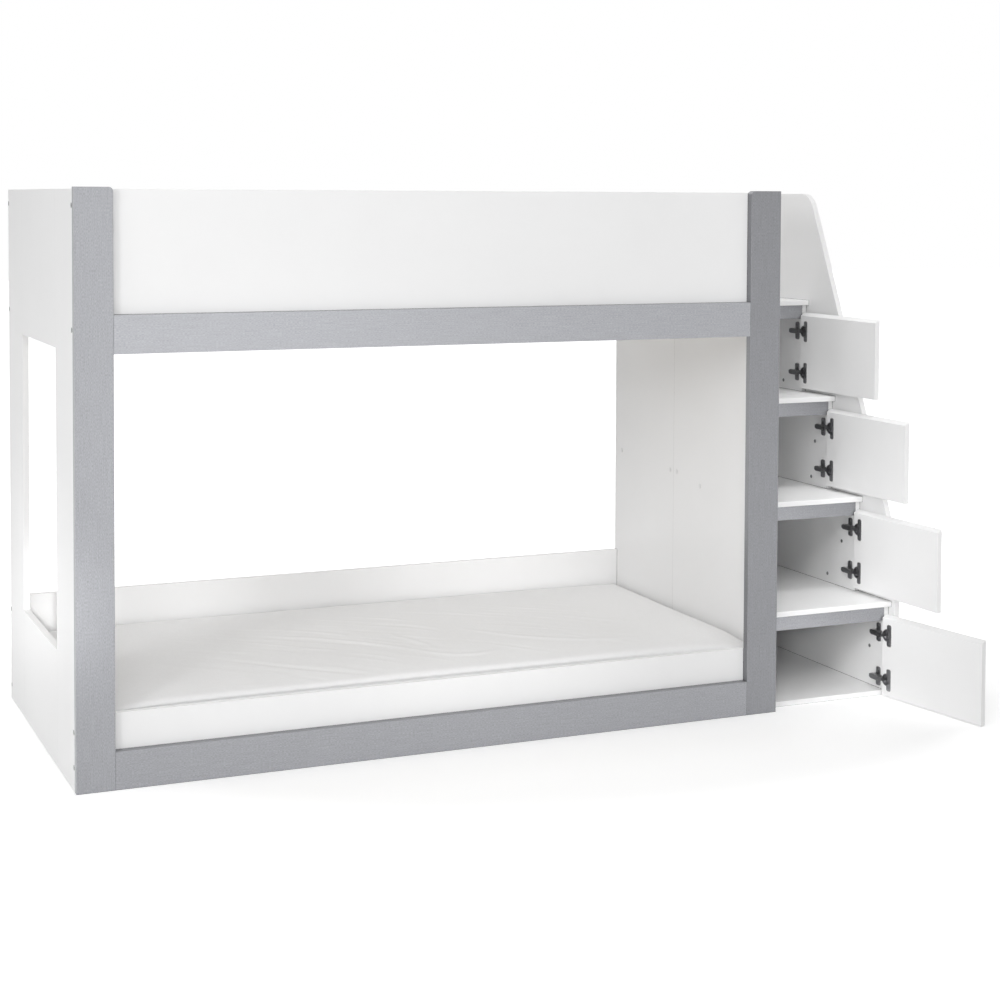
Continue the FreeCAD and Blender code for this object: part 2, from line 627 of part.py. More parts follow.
def hinge_arm(pin, front):
    """Hooked arm that reaches from its plate on the wall into the cup and holds the pin."""
    eye = rod(pin - Z * ARM_HALF_WIDTH, Z, EYE_RADIUS, 2 * ARM_HALF_WIDTH)
    far_x = pin.x - ARM_STANDOFF - ARM_THICKNESS
    near_x = pin.x - ARM_STANDOFF
    hook = block(far_x, pin.x, pin.y - EYE_RADIUS, pin.y + HOOK_UPPER,
                 pin.z - ARM_HALF_WIDTH, pin.z + ARM_HALF_WIDTH)
    neck_end = front + ARM_NECK
    neck = block(far_x, near_x, pin.y - EYE_RADIUS, neck_end,
                 pin.z - ARM_HALF_WIDTH, pin.z + ARM_HALF_WIDTH)
    tail_end = front + ARM_LENGTH
    narrow = ARM_HALF_WIDTH
    wide = ARM_TAIL_HALF_WIDTH
    half = [(neck_end, narrow), (neck_end + wide, wide), (tail_end - wide, wide), (tail_end, narrow)]
    outline = [Vector(far_x, y, pin.z - reach) for y, reach in half]
    outline += [Vector(far_x, y, pin.z + reach) for y, reach in reversed(half)]
    tail = Part.Face(Part.makePolygon(outline + outline[:1])).extrude(X * ARM_THICKNESS)
    arm = hook.fuse([eye, neck, tail]).removeSplitter()
    seat = rod(pin - Z * CUP_RADIUS, Z, PIN_RADIUS + PIN_SEAT_GAP, 2 * CUP_RADIUS)
    return arm.cut(seat)


def hinge_plate(pin, front):
    """Cross-shaped plate on the cabinet wall, with the ridge that carries the arm."""
    middle = front + PLATE_FROM_FRONT
    half = PLATE_WIDTH / 2
    wings = block(wall_inner - PLATE_THICKNESS, wall_inner, middle - half, middle + half,
                  pin.z - PLATE_HALF_HEIGHT, pin.z + PLATE_HALF_HEIGHT)
    corners = [e for e in wings.Edges if abs(e.Length - PLATE_THICKNESS) < 0.01]
    wings = wings.makeFillet(WING_RADIUS, corners)
    half_ridge = RIDGE_LENGTH / 2
    ridge = block(pin.x - ARM_STANDOFF, wall_inner, middle - half_ridge, middle + half_ridge,
                  pin.z - RIDGE_HALF_HEIGHT, pin.z + RIDGE_HALF_HEIGHT)
    return wings.fuse(ridge).removeSplitter()


def door_leaf(back, low, high):
    """Closed door with a slanted top edge; high is the top of its inner face."""
    free_edge = hinge_edge - (STAIR_WIDTH - 2 * DOOR_REVEAL)
    outer = back - DOOR_THICKNESS
    profile = [Vector(free_edge, back, low), Vector(free_edge, outer, low),
               Vector(free_edge, outer, high + DOOR_GRIP_RISE), Vector(free_edge, back, high)]
    shape = Part.Face(Part.makePolygon(profile + profile[:1])).extrude(X * (hinge_edge - free_edge))
    return shape.makeFillet(BOARD_EDGE_RADIUS, shape.Edges)


def doors():
    """Doors with their hinges; each is made closed and then swung open to its rest pose."""
    for step in steps:
        front = cabinet_front(step)
        back = front - DOOR_BACK_GAP
        low = door_bottom(step)
        leaf = door_leaf(back, low, low + door_height(step))
        cups = []
        for height in hinge_heights(step):
            pin = Vector(pin_x, pin_y(step), height)
            cup, screws, holes = hinge_cup(pin)
            leaf = leaf.cut(Part.makeCompound(holes))
            cups += [cup] + screws
            add("hinge_arms", hinge_arm(pin, front))
            plate = hinge_plate(pin, front)
            for side in (-1, 1):
                start = Vector(wall_inner - PLATE_THICKNESS, front + PLATE_FROM_FRONT,
                               height + side * PLATE_SCREW_SPREAD / 2)
                add("hinge_plate_screws", hinge_screw(start, X))
                hole = hinge_screw_hole(start, X)
                plate = plate.cut(hole)
                drill(f"right_wall_{step}", hole)
            add("hinge_plates", plate)
            add("hinge_pins", rod(pin - Z * PIN_HALF_LENGTH, Z, PIN_RADIUS, 2 * PIN_HALF_LENGTH))
        axis_point = Vector(pin_x, pin_y(step), 0)
        for shape in [leaf] + cups:
            shape.rotate(axis_point, Z, open_angle(step))
        solids[f"door_{step}"] = leaf
        solids[f"hinge_cups_{step}"] = cups


def build():
    """Make every piece, drill the boards and move the bed to its origin."""
    front_frame()
    long_boards()
    left_end()
    right_end()
    guards = ("front_guard_panel", "rear_guard_panel")
    lower_boards = ("lower_front_board", "rear_lower_panel")
    slatted_base("upper_slats", guard_bottom + CLEAT_LIFT, guards)
    slatted_base("lower_slats", LOWER_BOARD_LIFT + CLEAT_LIFT, lower_boards)
    mattress()
    side_panel()
    staircase()
    bolt_ends()
    dowel_joints()
    frame_screws()
    stair_dowels()
    stair_bolts()
    doors()
    for name, tools in cutters.items():
        solids[name] = solids[name].cut(Part.makeCompound(tools))
    shapes = {}
    for name, shape in solids.items():
        shapes[name] = Part.makeCompound(shape) if isinstance(shape, list) else shape
    box = Part.makeCompound(list(shapes.values())).optimalBoundingBox(False)
    origin = Vector((box.XMin + box.XMax) / 2, (box.YMin + box.YMax) / 2, box.ZMin)
    for shape in shapes.values():
        shape.translate(-origin)
    return shapes, origin


parts, build_origin = build()
os.makedirs("parts", exist_ok=True)
for node, piece in parts.items():
    piece.exportStep(f"parts/{node}.step")
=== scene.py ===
import json
import math
from collections import namedtuple

import bpy
import numpy as np
from mathutils import Matrix, Vector


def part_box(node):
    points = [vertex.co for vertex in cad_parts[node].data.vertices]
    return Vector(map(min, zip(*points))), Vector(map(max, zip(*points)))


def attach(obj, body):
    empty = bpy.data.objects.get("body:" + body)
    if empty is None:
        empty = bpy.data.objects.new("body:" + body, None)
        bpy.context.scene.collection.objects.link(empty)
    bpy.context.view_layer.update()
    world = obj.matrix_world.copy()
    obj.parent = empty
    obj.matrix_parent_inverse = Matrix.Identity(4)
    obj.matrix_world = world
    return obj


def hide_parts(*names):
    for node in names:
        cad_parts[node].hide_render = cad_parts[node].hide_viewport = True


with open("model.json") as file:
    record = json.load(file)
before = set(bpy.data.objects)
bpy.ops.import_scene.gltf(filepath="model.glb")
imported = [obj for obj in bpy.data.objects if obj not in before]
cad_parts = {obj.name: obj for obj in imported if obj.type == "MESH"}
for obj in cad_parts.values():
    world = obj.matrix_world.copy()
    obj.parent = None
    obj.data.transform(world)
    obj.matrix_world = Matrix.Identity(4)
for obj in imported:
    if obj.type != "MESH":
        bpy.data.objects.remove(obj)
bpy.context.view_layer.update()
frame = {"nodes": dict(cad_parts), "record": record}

NODES = frame["nodes"]
SLOT_OF = {row["node"]: row["material_slot"] for row in frame["record"]["subparts"]}

# The corner on the floor where the bed's left end meets the front face of its grey frame
LEFT_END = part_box("left_end_front_post")[0].x
FRONT_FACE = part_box("lower_front_rail")[0].y
CORNER = Vector((LEFT_END, FRONT_FACE, 0.0))

# Camera of the photograph, in metres from that corner, with angles in radians
CAMERA_FROM_CORNER = Vector((-0.9099, -4.8055, 1.5181))
CAMERA_YAW = 0.40771
CAMERA_PITCH = -0.04321
CAMERA_ROLL = 0.00449
CAMERA_REACH = 60.0
FOCAL_LENGTH_IN_WIDTHS = 1.90236
HORIZON_SHIFT = -0.2186
SENSOR_WIDTH = 36.0

# Lamps: places in metres from the corner, sizes in metres, cones in degrees and power in watts
Softbox = namedtuple("Softbox", "place aim width power")
Spot = namedtuple("Spot", "place aim cone radius power")
BED_MIDDLE = (1.2, 0.4, 0.7)
SOFTBOXES = {
    "key_softbox": Softbox((-3.93, -4.16, 2.55), BED_MIDDLE, 1.2, 75.0),
    "front_softbox": Softbox((1.9, -6.0, 1.3), BED_MIDDLE, 1.6, 21.0),
    "left_high_softbox": Softbox((-1.5, -5.0, 4.5), BED_MIDDLE, 2.0, 83.0),
    "right_high_softbox": Softbox((1.5, -4.5, 5.0), BED_MIDDLE, 2.5, 44.0),
    "top_softbox": Softbox((1.2, 0.3, 5.0), BED_MIDDLE, 3.0, 33.0),
    "left_softbox": Softbox((-5.0, -0.5, 2.0), BED_MIDDLE, 2.0, 19.0),
    "left_low_softbox": Softbox((-2.8, -1.6, 1.0), (0.0, 0.45, 0.4), 1.4, 5.0),
    "right_softbox": Softbox((6.5, 0.9, 3.2), BED_MIDDLE, 2.0, 45.0),
    "back_softbox": Softbox((1.0, 5.0, 4.0), BED_MIDDLE, 2.0, 32.0),
}
SPOTS = {
    "stairs_top_spot": Spot((2.4, -1.0, 4.2), (2.43, 0.30, 0.6), 15.0, 0.35, 165.0),
    "stairs_left_spot": Spot((0.8, -2.0, 4.0), (2.45, 0.1, 0.45), 17.0, 0.35, 60.0),
    "stairs_low_spot": Spot((0.6, -2.6, 2.2), (2.45, 0.1, 0.2), 10.0, 0.35, 90.0),
    "doors_spot": Spot((-1.5, -1.6, 1.9), (2.45, -0.1, 0.45), 12.0, 0.3, 140.0),
    "cabinets_spot": Spot((0.6, -3.2, 0.95), (2.49, 0.45, 0.60), 12.0, 0.25, 80.0),
    "lowest_cabinet_spot": Spot((0.9, -1.9, 0.75), (2.42, 0.22, 0.08), 8.0, 0.2, 110.0),
    "bunk_left_spot": Spot((-0.9, -5.2, 1.4), (0.9, 0.9, 0.4), 16.0, 0.35, 147.0),
    "bunk_right_spot": Spot((-0.9, -5.2, 1.4), (1.6, 0.95, 0.35), 9.0, 0.35, 400.0),
    "window_spot": Spot((-2.2, -1.2, 1.3), (0.5, 1.0, 0.28), 10.0, 0.3, 170.0),
    "rear_corner_spot": Spot((-1.0, -5.4, 1.5), (0.10, 1.0, 0.27), 3.0, 0.15, 1100.0),
}
SPOT_BLEND = 0.8
AMBIENT_LIGHT = 0.35
WHITE = (1.0, 1.0, 1.0, 1.0)

# Floor, in metres: it turns to plain white between two shares of an ellipse round the bed
FLOOR_SIZE = 60.0
FLOOR_ALBEDO = 0.85
FLOOR_GLOW = 0.27
FLOOR_MIRROR_GLOW = 0.75
FLOOR_ELLIPSE = (1.55, 1.05)
FLOOR_ELLIPSE_SHIFT = 0.30
WHITE_FROM = 0.85
WHITE_AT = 1.8

# Finishes, as linear colours
WHITE_LAMINATE = (0.885, 0.885, 0.885)
GREY_LAMINATE = (0.290, 0.294, 0.310)
SOFTWOOD_LIGHT = (0.76, 0.70, 0.61)
SOFTWOOD_DARK = (0.68, 0.60, 0.50)
SHEET_COTTON = (0.88, 0.881, 0.883)
DARK_NICKEL = (0.300, 0.300, 0.310)
BOLT_NICKEL = (0.050, 0.050, 0.053)
ZINC = (0.55, 0.56, 0.58)
WHITE_LACQUER = (0.80, 0.80, 0.80)

# Painted light and shade: tones in which single grey boards are lighter or darker, and the doors' edges
# darker, than the others
RIGHT_POST_SHADE = 0.80
UPPER_RAIL_LIGHT = 1.14
LOWER_RAIL_SHADE = 0.98
FASCIA_LIGHT = 1.20
DOOR_EDGE_SHADE = 0.93

# Painted shade in joints between boards and in inner corners, from ambient occlusion: its tone, its depth in
# metres and the openness at which it ends
JOINT_SHADE_TONE = 0.05
JOINT_SHADE_REACH = 0.002
JOINT_SHADE_SAMPLES = 4
JOINT_SHADE_OPENNESS = (0.35, 0.95)
# Slant of a normal against X between which an edge turns into a face
EDGE_SLANT = (0.6, 0.8)


def make_camera():
    """Camera at the photograph's viewing angle."""
    data = bpy.data.cameras.new("photo_camera")
    data.sensor_width = SENSOR_WIDTH
    data.lens = FOCAL_LENGTH_IN_WIDTHS * SENSOR_WIDTH
    data.shift_y = HORIZON_SHIFT
    data.clip_end = CAMERA_REACH
    cam = bpy.data.objects.new("photo_camera", data)
    bpy.context.scene.collection.objects.link(cam)
    flat = math.cos(CAMERA_PITCH)
    forward = Vector((math.sin(CAMERA_YAW) * flat, math.cos(CAMERA_YAW) * flat, math.sin(CAMERA_PITCH)))
    right = Vector((math.cos(CAMERA_YAW), -math.sin(CAMERA_YAW), 0.0))
    up = right.cross(forward)
    tilted_right = math.cos(CAMERA_ROLL) * right + math.sin(CAMERA_ROLL) * up
    tilted_up = -math.sin(CAMERA_ROLL) * right + math.cos(CAMERA_ROLL) * up
    turn = Matrix((tilted_right, tilted_up, -forward)).transposed()
    cam.matrix_world = Matrix.Translation(CORNER + CAMERA_FROM_CORNER) @ turn.to_4x4()
    bpy.context.scene.camera = cam


def add_node(tree, kind, links=None, **values):
    """A node with input values and, from other nodes, linked inputs."""
    node = tree.nodes.new(kind)
    for socket, value in values.items():
        node.inputs[socket.replace("_", " ")].default_value = value
    for socket, source in (links or {}).items():
        tree.links.new(source, node.inputs[socket])
    return node


def calculate(tree, operation, *sources):
    """Result of a sum, product or the like of values from other nodes."""
    node = tree.nodes.new("ShaderNodeMath")
    node.operation = operation
    for socket, source in zip(node.inputs, sources):
        tree.links.new(source, socket)
    return node.outputs[0]


def map_range(tree, source, low, high, start=0.0, end=1.0):
    """Map the source's range from start to end onto low to high."""
    node = add_node(tree, "ShaderNodeMapRange", {"Value": source},
                    From_Min=start, From_Max=end, To_Min=low, To_Max=high)
    return node.outputs["Result"]


def shade(colour, factor):
    return tuple(part * factor for part in colour)


def even(count):
    """Feature counts that are the same along X, Y and Z."""
    return (count, count, count)


def along(axis, length_count, width_count):
    """Feature counts for a grain that runs along one axis."""
    return tuple(length_count if axis == letter else width_count for letter in "xyz")


class Surface:
    """A node material that is put together step by step round one Principled shader."""

    # Middle stretch of a noise's values, where most of them lie
    NOISE_SPAN = (0.3, 0.7)
    # Sockets of a colour mix, which share their names with those of other kinds of mix
    MIX_FACTOR = 0
    MIX_COLOURS = (6, 7)
    MIX_RESULT = 2

    def __init__(self, name, **sockets):
        self.material = bpy.data.materials.new(name)
        self.material.use_nodes = True
        self.tree = self.material.node_tree
        self.shader = self.tree.nodes["Principled BSDF"]
        for socket, value in sockets.items():
            self.shader.inputs[socket.replace("_", " ")].default_value = value
        self.place = add_node(self.tree, "ShaderNodeTexCoord").outputs["Object"]

    def noise(self, features_per_metre, detail=3.0, roughness=0.55, distortion=0.0):
        """Noise with the given count of features per metre along X, Y and Z."""
        stretched = add_node(self.tree, "ShaderNodeMapping", {"Vector": self.place}, Scale=features_per_metre)
        node = add_node(self.tree, "ShaderNodeTexNoise", {"Vector": stretched.outputs["Vector"]},
                        Scale=1.0, Detail=detail, Roughness=roughness, Distortion=distortion)
        return node.outputs["Fac"]

    def ramp(self, source, low, high, span=NOISE_SPAN):
        """Map a span of the source's values onto low to high."""
        return map_range(self.tree, source, low, high, *span)

    def blend(self, source, first, second):
        """A colour between two others, by the source's value."""
        node = self.tree.nodes.new("ShaderNodeMix")
        node.data_type = "RGBA"
        self.tree.links.new(source, node.inputs[self.MIX_FACTOR])
        for place, colour in zip(self.MIX_COLOURS, (first, second)):
            if isinstance(colour, tuple):
                node.inputs[place].default_value = (*colour, 1.0)
            else:
                self.tree.links.new(colour, node.inputs[place])
        return node.outputs[self.MIX_RESULT]

    def toned(self, source, colour, swing):
        """The colour, darker to lighter by a swing about its mean with the source."""
        return self.blend(source, shade(colour, 1 - swing), shade(colour, 1 + swing))

    def painted_joint_shade(self, colour, tone):
        """The tone on open faces, and painted shade, a dark one of the colour, deep in a joint or an inner
        corner.
        """
        node = add_node(self.tree, "ShaderNodeAmbientOcclusion", Distance=JOINT_SHADE_REACH)
        node.samples = JOINT_SHADE_SAMPLES
        openness = self.ramp(node.outputs["AO"], 0.0, 1.0, JOINT_SHADE_OPENNESS)
        return self.blend(openness, shade(colour, JOINT_SHADE_TONE), tone)

    def faces_along_x(self):
        """One on faces that look along X in the object's own frame and zero on the edges between them."""
        normal = add_node(self.tree, "ShaderNodeTexCoord").outputs["Normal"]
        slant = add_node(self.tree, "ShaderNodeSeparateXYZ", {"Vector": normal}).outputs["X"]
        return self.ramp(calculate(self.tree, "ABSOLUTE", slant), 0.0, 1.0, EDGE_SLANT)

    def paint(self, source):
        self.tree.links.new(source, self.shader.inputs["Base Color"])

    def roughen(self, source, mean, swing):
        """Let the roughness wander about its mean with the source."""
        self.shader.inputs["Roughness"].default_value = mean
        self.tree.links.new(self.ramp(source, mean - swing, mean + swing), self.shader.inputs["Roughness"])

    def bump(self, source, depth):
        """Give the surface a relief of a depth in metres."""
        node = add_node(self.tree, "ShaderNodeBump", {"Height": source}, Strength=1.0, Distance=depth)
        self.tree.links.new(node.outputs["Normal"], self.shader.inputs["Normal"])


# Laminates: features per metre, along and across the grain where there is one, and relief in metres
LAMINATE_ROUGHNESS = 0.42
CLOUDS = 5.0
CLOUD_SWING = 0.007
PEARLS = 700.0
PEARL_ROUGHNESS_SWING = 0.04
PEARL_RELIEF = 0.00002
GREY_METALLIC = 0.75
LONG_STREAKS = (14.0, 1000.0)
SHORT_STREAKS = (170.0, 1000.0)
LONG_STREAK_SHARE = 0.35
STREAK_SWING = 0.28
STREAK_ROUGHNESS_SWING = 0.05
STREAK_RELIEF = 0.00004


def white_laminate(name, edge_shade=1.0):
    """Satin white board: a faint cloudiness, a pearl texture and a roughness that wanders a little.

    The edges of a leaf whose faces look along X can have a darker band of painted shade.
    """
    surface = Surface(name)
    clouds = surface.ramp(surface.noise(even(CLOUDS), detail=2.0), 0.0, 1.0)
    tone = surface.toned(clouds, WHITE_LAMINATE, CLOUD_SWING)
    # Painted shade: the leaf's edges get a darker tone than its faces.
    if edge_shade < 1.0:
        tone = surface.blend(surface.faces_along_x(), shade(WHITE_LAMINATE, edge_shade), tone)
    # Painted shade darkens the colour in joints and inner corners.
    surface.paint(surface.painted_joint_shade(WHITE_LAMINATE, tone))
    pearl = surface.noise(even(PEARLS), detail=2.0)
    surface.roughen(pearl, LAMINATE_ROUGHNESS, PEARL_ROUGHNESS_SWING)
    surface.bump(pearl, PEARL_RELIEF)
    return surface.material


def grey_laminate(name, axis, factor):
    """Grey board with a brushed metal look, its streaks along one axis, made lighter or darker by a factor of
    painted light or shade.
    """
    surface = Surface("grey_laminate_" + name, Metallic=GREY_METALLIC)
    colour = shade(GREY_LAMINATE, factor)
    long_streaks = surface.noise(along(axis, *LONG_STREAKS), detail=2.0, roughness=0.5)
    short_streaks = surface.noise(along(axis, *SHORT_STREAKS), detail=1.0, roughness=0.5)
    streaks = calculate(surface.tree, "ADD",
                        surface.ramp(long_streaks, 0.0, LONG_STREAK_SHARE),
                        surface.ramp(short_streaks, 0.0, 1 - LONG_STREAK_SHARE))
    tone = surface.toned(streaks, colour, STREAK_SWING)
    # Painted shade darkens the colour in joints and inner corners.
    surface.paint(surface.painted_joint_shade(colour, tone))
    surface.roughen(streaks, LAMINATE_ROUGHNESS, STREAK_ROUGHNESS_SWING)
    surface.bump(streaks, STREAK_RELIEF)
    return surface.material


# Softwood and sheet: features per metre, along and across the grain or along X, Y and Z
WOOD_RINGS = (2.0, 60.0)
RING_SPAN = (0.38, 0.62)
WOOD_FIBRES = (25.0, 900.0)
WOOD_ROUGHNESS = 0.6
WOOD_ROUGHNESS_SWING = 0.08
FIBRE_RELIEF = 0.00012
WARP = (40.0, 1100.0, 300.0)
WEFT = (1100.0, 40.0, 300.0)
THREAD_SPAN = (0.75, 1.25)
THREAD_SWING = 0.03
THREAD_RELIEF = 0.00015


def plain_wood(axis):
    """Planed softwood with grain along one axis."""
    surface = Surface("plain_wood_" + axis)
    rings = surface.noise(along(axis, *WOOD_RINGS), detail=4.0, distortion=0.6)
    fibres = surface.noise(along(axis, *WOOD_FIBRES))
    surface.paint(surface.blend(surface.ramp(rings, 0.0, 1.0, RING_SPAN), SOFTWOOD_LIGHT, SOFTWOOD_DARK))
    surface.roughen(fibres, WOOD_ROUGHNESS, WOOD_ROUGHNESS_SWING)
    surface.bump(fibres, FIBRE_RELIEF)
    return surface.material


def sheet_cotton():
    """Pale cotton sheet: crossing threads, slubs and a soft sheen."""
    surface = Surface("sheet_cotton", Roughness=0.85, Sheen_Weight=0.12, Sheen_Roughness=0.5)
    threads = calculate(surface.tree, "ADD", surface.noise(WARP, detail=2.0), surface.noise(WEFT, detail=2.0))
    surface.paint(surface.toned(surface.ramp(threads, 0.0, 1.0, THREAD_SPAN), SHEET_COTTON, THREAD_SWING))
    surface.bump(threads, THREAD_RELIEF)
    return surface.material


# Metal and lacquer: features per metre along X, Y and Z, and relief in metres
ROLLING_MARKS = (1500.0, 1500.0, 260.0)
MARK_SWING = 0.2
MARK_ROUGHNESS_SWING = 0.08
MARK_RELIEF = 0.00003
NICKEL_ROUGHNESS = 0.34
ZINC_ROUGHNESS = 0.36
ORANGE_PEEL = 1200.0
PEEL_SWING = 0.03
LACQUER_ROUGHNESS = 0.3
PEEL_ROUGHNESS_SWING = 0.04
PEEL_RELIEF = 0.00003


def plated_metal(name, colour, roughness):
    """Plated steel with fine rolling marks."""
    surface = Surface(name, Metallic=1.0)
    marks = surface.noise(ROLLING_MARKS)
    surface.paint(surface.toned(marks, colour, MARK_SWING))
    surface.roughen(marks, roughness, MARK_ROUGHNESS_SWING)
    surface.bump(marks, MARK_RELIEF)
    return surface.material


def white_lacquer():
    """White lacquered caps with a slight orange peel."""
    surface = Surface("white_lacquer")
    peel = surface.noise(even(ORANGE_PEEL), detail=1.0)
    surface.paint(surface.toned(peel, WHITE_LACQUER, PEEL_SWING))
    surface.roughen(peel, LACQUER_ROUGHNESS, PEEL_ROUGHNESS_SWING)
    surface.bump(peel, PEEL_RELIEF)
    return surface.material


def finish_nodes(cotton):
    """Give every CAD node its finish, with the grain along each board's length."""
    # Painted light and shade: the doors' edges darker, the fascias and upper rail lighter, and the right post
    # and lower rail darker than the left post.
    door_white = white_laminate("door_laminate", DOOR_EDGE_SHADE)
    fascia = grey_laminate("fascia", "x", FASCIA_LIGHT)
    wood = {axis: plain_wood(axis) for axis in "xy"}
    by_node = {
        "left_front_post": grey_laminate("left_post", "z", 1.0),
        "right_front_post": grey_laminate("right_post", "z", RIGHT_POST_SHADE),
        "upper_front_rail": grey_laminate("upper_rail", "x", UPPER_RAIL_LIGHT),
        "lower_front_rail": grey_laminate("lower_rail", "x", LOWER_RAIL_SHADE),
        "end_bolts": plated_metal("bolt_nickel", BOLT_NICKEL, NICKEL_ROUGHNESS),
    }
    by_slot = {
        "white_laminate": white_laminate("white_laminate"),
        "grey_laminate": fascia,
        "mattress_cover": cotton,
        "dark_nickel": plated_metal("dark_nickel", DARK_NICKEL, NICKEL_ROUGHNESS),
        "zinc_steel": plated_metal("zinc_steel", ZINC, ZINC_ROUGHNESS),
        "white_caps": white_lacquer(),
    }
    for name, node in NODES.items():
        slot = SLOT_OF[name]
        if name in by_node:
            material = by_node[name]
        elif name.startswith("door_"):
            material = door_white
        elif slot == "plain_wood":
            material = wood["y" if name.endswith("slats") else "x"]
        else:
            material = by_slot[slot]
        node.data.materials.clear()
        node.data.materials.append(material)


# Mattress, in metres: the cells of its mesh, with most rows of a side in the stretch round its seam
GRID_X = 0.007
GRID_Y = 0.0055
SIDE_ROWS = 56
SEAM_ROWS = (0.2, 0.9)
SEAM_STRETCH = (0.60, 0.97)

# Its form
EDGE_RADIUS = 0.024
REAR_EDGE_RADIUS = 0.008
PLAN_RADIUS = 0.034
CROWN = 0.030
CROWN_AT_EDGE = 0.16
CROWN_POWER_X = 6
CROWN_POWER_Y = 3
SIDE_DRAW = 0.006
CORNER_DROOP = 0.011
DROOP_REACH = 0.11
SEAM_BELOW_TOP = 0.0135
SEAM_DEPTH = 0.0085
SEAM_WIDTH = 0.0045
# Towards the right end the seam fades by a share of its depth, between two shares of the half length
SEAM_FADE = 0.85
SEAM_FADES = (0.25, 0.75)
# Waves of the foam: height in metres, then along X and Y their radians per metre and their starts
FOAM_WAVE = 0.0012
FOAM_WAVE_TURNS = (9.0, 11.0)
FOAM_WAVE_STARTS = (2.0, 0.7)
# Least length that is divided by
TINY = 1e-9

# Creases of the sheet, in metres from the bed's corner: start, end, sideways bow, height and half width
CREASES = (
    ((0.644, 0.579), (1.067, 0.205), 0.022, 0.0048, 0.013),
    ((0.705, 0.644), (0.894, 0.476), 0.006, 0.0032, 0.012),
    ((0.966, 0.594), (1.164, 0.436), 0.030, -0.0032, 0.012),
    ((1.001, 0.461), (1.084, 0.250), 0.004, 0.0032, 0.012),
    ((0.710, 0.377), (0.812, 0.323), 0.000, 0.0016, 0.010),
    ((0.421, 0.393), (0.849, 0.087), -0.028, -0.0040, 0.011),
    ((0.409, 0.111), (0.569, 0.091), 0.000, 0.0016, 0.010),
    ((1.028, 0.247), (1.255, 0.194), -0.045, 0.0040, 0.012),
    ((1.223, 0.455), (1.706, 0.186), -0.080, 0.0036, 0.013),
    ((1.375, 0.631), (1.457, 0.567), 0.000, 0.0020, 0.011),
    ((1.589, 0.498), (1.788, 0.356), -0.020, 0.0020, 0.012),
)
CREASE_FADE_POWER = 0.7
# A shallow hollow runs along both sides of a crease: its share of the height and of the width
HOLLOW_DEPTH = 0.45
HOLLOW_WIDTH = 2.2
FINE_CREASES = 70
FINE_SEED = 7
FINE_FIELD = ((0.36, 1.72), (0.08, 0.72))
FINE_TURN = math.radians(-38.0)
FINE_TURN_SPREAD = math.radians(7.0)
FINE_LENGTH = (0.12, 0.38)
FINE_HEIGHT = (0.0007, 0.0018)
FINE_BOW = (-0.015, 0.015)
FINE_WIDTH = (0.008, 0.012)
# Gathers at the corners, counted as if they went on round a full turn
GATHERS = 9.0
GATHER_HEIGHT = 0.0016
GATHER_RADIUS = 0.055
GATHER_REACH = 0.040


def box_grid(counts):
    """Corners and faces of a closed box of unit cells, keyed by their place on the grid."""
    index = {}
    faces = []

    def corner(place):
        return index.setdefault(place, len(index))

    for axis in range(3):
        first, second = (axis + 1) % 3, (axis + 2) % 3
        for level in (0, counts[axis]):
            for a in range(counts[first]):
                for b in range(counts[second]):
                    face = []
                    for da, db in ((0, 0), (1, 0), (1, 1), (0, 1)):
                        place = [0, 0, 0]
                        place[axis], place[first], place[second] = level, a + da, b + db
                        face.append(corner(tuple(place)))
                    faces.append(face if level else face[::-1])
    return np.array(list(index), dtype=float), faces


def rounded(points, half, radius):
    """Pull the points beyond an inner box onto a round edge of the given radius."""
    inner = np.clip(points, -(half - radius), half - radius)
    out = points - inner
    length = np.linalg.norm(out, axis=1)
    reach = np.abs(out).max(axis=1)
    return inner + out * np.where(length > 0, reach / np.maximum(length, TINY), 1.0)[:, None]


def round_edges(points, half):
    """Round the corners that are seen from above, then all edges, less towards the rear."""
    points[:, :2] = rounded(points[:, :2], half[:2], PLAN_RADIUS)
    rear = np.clip(points[:, 1] / half[1], 0.0, 1.0)[:, None]
    return rounded(points, half, EDGE_RADIUS + (REAR_EDGE_RADIUS - EDGE_RADIUS) * rear)


def fine_creases():
    """Small creases scattered along the direction in which the sheet is pulled."""
    draw = np.random.RandomState(FINE_SEED)
    for _ in range(FINE_CREASES):
        middle = np.array([draw.uniform(*span) for span in FINE_FIELD])
        turn = FINE_TURN + draw.uniform(-1, 1) * FINE_TURN_SPREAD
        reach = draw.uniform(*FINE_LENGTH) / 2 * np.array([math.cos(turn), math.sin(turn)])
        height = draw.uniform(*FINE_HEIGHT) * draw.choice((1, -1))
        bow = draw.uniform(*FINE_BOW)
        yield middle - reach, middle + reach, bow, height, draw.uniform(*FINE_WIDTH)


def crease_relief(plan):
    """Height that the creases add to points of the sheet, in plan from the bed's corner."""
    relief = np.zeros(len(plan))
    for start, end, bow, height, width in (*CREASES, *fine_creases()):
        start, end = np.array(start), np.array(end)
        run = end - start
        length = np.linalg.norm(run)
        run /= length
        side = np.array([-run[1], run[0]])
        share = np.clip((plan - start) @ run / length, 0.0, 1.0)
        across = (plan - start) @ side - bow * 4 * share * (1 - share)
        fade = np.sin(np.pi * share) ** CREASE_FADE_POWER
        hollow = HOLLOW_DEPTH * np.exp(-(across / (HOLLOW_WIDTH * width)) ** 2)
        relief += height * fade * (np.exp(-(across / width) ** 2) - hollow)
    return relief


def edge_distance(plan, half):
    """Distance inside the rounded outline, and the outward direction, for points about the middle."""
    inner = np.clip(plan, -(half - PLAN_RADIUS), half - PLAN_RADIUS)
    out = plan - inner
    length = np.linalg.norm(out, axis=1)
    straight = (half - np.abs(plan)).min(axis=1)
    distance = np.where(length > 0, PLAN_RADIUS - length, straight)
    return distance, out / np.maximum(length, TINY)[:, None]


